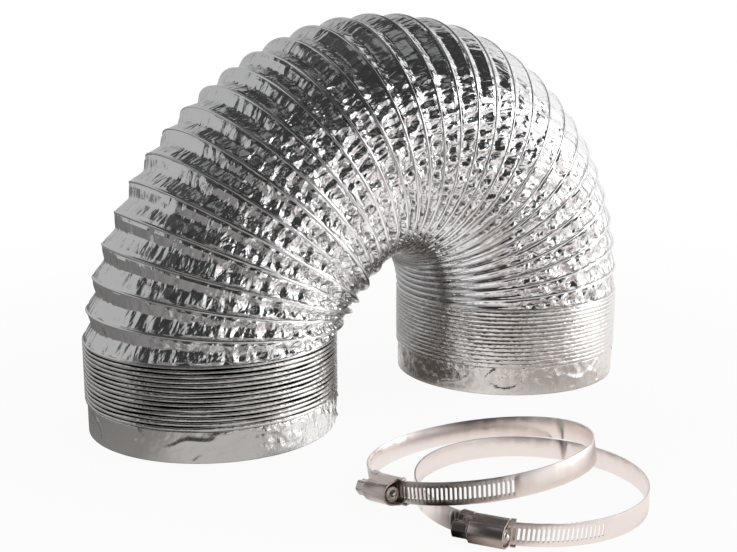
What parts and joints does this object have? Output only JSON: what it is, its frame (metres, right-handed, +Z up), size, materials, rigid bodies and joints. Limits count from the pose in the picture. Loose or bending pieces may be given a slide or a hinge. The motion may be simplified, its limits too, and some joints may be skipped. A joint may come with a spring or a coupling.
{
  "type": "flexible air duct",
  "caption": "Flexible round foil duct with a wire-ribbed wall, pleats pushed together at both ends, taped cuffs and loose worm-drive band clamps, bent into an arch.",
  "frame": {"origin": "centre of the near cuff's open end, on the floor that the duct and its clamps stand on", "axes": "+X towards the far leg of the arch, +Y away from the clamps, +Z up along the near cuff's bore"},
  "size_m": [0.3916, 0.3468, 0.2521],
  "materials": {
    "ribbed_foil": "crinkled bright aluminium foil laminate",
    "pleated_foil": "the same foil laminate in tight pleats",
    "foil_sleeve": "plain foil laminate",
    "foil_tape": "smooth adhesive foil tape, lightly wrinkled",
    "spring_wire": "drawn spring steel wire",
    "clamp_band": "bright rolled stainless steel strip",
    "clamp_housing": "pressed bright stainless steel",
    "clamp_screw": "machined steel, zinc plated"
  },
  "bodies": {
    "near_end": {"near_cuff": "foil_sleeve", "near_tape": "foil_tape", "near_stack": "pleated_foil", "near_stack_wire": "spring_wire"},
    "turn_00": {"wire_00": "spring_wire"},
    "turn_01": {"foil_01": "ribbed_foil", "wire_01": "spring_wire"},
    "turn_02": {"foil_02": "ribbed_foil", "wire_02": "spring_wire"},
    "turn_03": {"foil_03": "ribbed_foil", "wire_03": "spring_wire"},
    "turn_04": {"foil_04": "ribbed_foil", "wire_04": "spring_wire"},
    "turn_05": {"foil_05": "ribbed_foil", "wire_05": "spring_wire"},
    "turn_06": {"foil_06": "ribbed_foil", "wire_06": "spring_wire"},
    "turn_07": {"foil_07": "ribbed_foil", "wire_07": "spring_wire"},
    "turn_08": {"foil_08": "ribbed_foil", "wire_08": "spring_wire"},
    "turn_09": {"foil_09": "ribbed_foil", "wire_09": "spring_wire"},
    "turn_10": {"foil_10": "ribbed_foil", "wire_10": "spring_wire"},
    "far_end": {"far_cuff": "foil_sleeve", "far_tape": "foil_tape", "far_stack": "pleated_foil", "far_stack_wire": "spring_wire"},
    "front_clamp": {"front_clamp_band": "clamp_band", "front_clamp_saddle": "clamp_housing", "front_clamp_housing": "clamp_housing"},
    "front_screw": {"front_clamp_screw": "clamp_screw"},
    "rear_clamp": {"rear_clamp_band": "clamp_band", "rear_clamp_saddle": "clamp_housing", "rear_clamp_housing": "clamp_housing"},
    "rear_screw": {"rear_clamp_screw": "clamp_screw"}
  },
  "joints": [
    {"name": "near_stretch", "type": "slide", "parent": "near_end", "child": "turn_00", "axis": [0, 0, 1], "range_m": [0, 0.15], "deforming": ["near_stack", "near_stack_wire"]},
    {"name": "bend_01", "type": "hinge", "parent": "turn_00", "child": "turn_01", "pos_m": [0.00463, 0, 0.07535], "axis": [0, -1, 0], "range_deg": [0, 8], "deforming": ["foil_01"]},
    {"name": "bend_02", "type": "hinge", "parent": "turn_01", "child": "turn_02", "pos_m": [0.0199, 0, 0.10777], "axis": [0, -1, 0], "range_deg": [0, 8], "deforming": ["foil_02"]},
    {"name": "bend_03", "type": "hinge", "parent": "turn_02", "child": "turn_03", "pos_m": [0.04243, 0, 0.13564], "axis": [0, -1, 0], "range_deg": [0, 8], "deforming": ["foil_03"]},
    {"name": "bend_04", "type": "hinge", "parent": "turn_03", "child": "turn_04", "pos_m": [0.07093, 0, 0.15738], "axis": [0, -1, 0], "range_deg": [0, 8], "deforming": ["foil_04"]},
    {"name": "bend_05", "type": "hinge", "parent": "turn_04", "child": "turn_05", "pos_m": [0.10399, 0, 0.17107], "axis": [0, -1, 0], "range_deg": [0, 4.5], "deforming": ["foil_05"]},
    {"name": "bend_06", "type": "hinge", "parent": "turn_05", "child": "turn_06", "pos_m": [0.13968, 0, 0.173], "axis": [0, -1, 0], "range_deg": [0, 4.5], "deforming": ["foil_06"]},
    {"name": "bend_07", "type": "hinge", "parent": "turn_06", "child": "turn_07", "pos_m": [0.1739, 0, 0.16267], "axis": [0, -1, 0], "range_deg": [0, 4.5], "deforming": ["foil_07"]},
    {"name": "bend_08", "type": "hinge", "parent": "turn_07", "child": "turn_08", "pos_m": [0.20257, 0, 0.14132], "axis": [0, -1, 0], "range_deg": [0, 4.5], "deforming": ["foil_08"]},
    {"name": "bend_09", "type": "hinge", "parent": "turn_08", "child": "turn_09", "pos_m": [0.22261, 0, 0.11167], "axis": [0, -1, 0], "range_deg": [0, 6.5], "deforming": ["foil_09"]},
    {"name": "bend_10", "type": "hinge", "parent": "turn_09", "child": "turn_10", "pos_m": [0.23304, 0, 0.07743], "axis": [0, -1, 0], "range_deg": [0, 6.5], "deforming": ["foil_10"]},
    {"name": "far_stretch", "type": "slide", "parent": "turn_10", "child": "far_end", "axis": [0, 0, -1], "range_m": [0, 0.15], "deforming": ["far_stack", "far_stack_wire"]},
    {"name": "front_clamp_lift", "type": "slide", "parent": "near_end", "child": "front_clamp", "axis": [0, 0, 1], "range_m": [0, 0.1]},
    {"name": "front_screw_turn", "type": "hinge", "parent": "front_clamp", "child": "front_screw", "pos_m": [0.03114, -0.24192, 0.00713], "axis": [-0.5446, 0.8387, 0], "continuous": true},
    {"name": "rear_clamp_lift", "type": "slide", "parent": "front_clamp", "child": "rear_clamp", "axis": [0, 0, 1], "range_m": [0, 0.1]},
    {"name": "rear_screw_turn", "type": "hinge", "parent": "rear_clamp", "child": "rear_screw", "pos_m": [0.00855, -0.18253, 0.01328], "axis": [-0.0646, 0.9838, -0.1672], "continuous": true}
  ],
  "couplings": [
    {"joint": "bend_02", "follows": "bend_01", "ratio": 1},
    {"joint": "bend_03", "follows": "bend_01", "ratio": 1},
    {"joint": "bend_04", "follows": "bend_01", "ratio": 1},
    {"joint": "bend_05", "follows": "bend_01", "ratio": 0.5625},
    {"joint": "bend_06", "follows": "bend_01", "ratio": 0.5625},
    {"joint": "bend_07", "follows": "bend_01", "ratio": 0.5625},
    {"joint": "bend_08", "follows": "bend_01", "ratio": 0.5625},
    {"joint": "bend_09", "follows": "bend_01", "ratio": 0.8125},
    {"joint": "bend_10", "follows": "bend_01", "ratio": 0.8125}
  ]
}
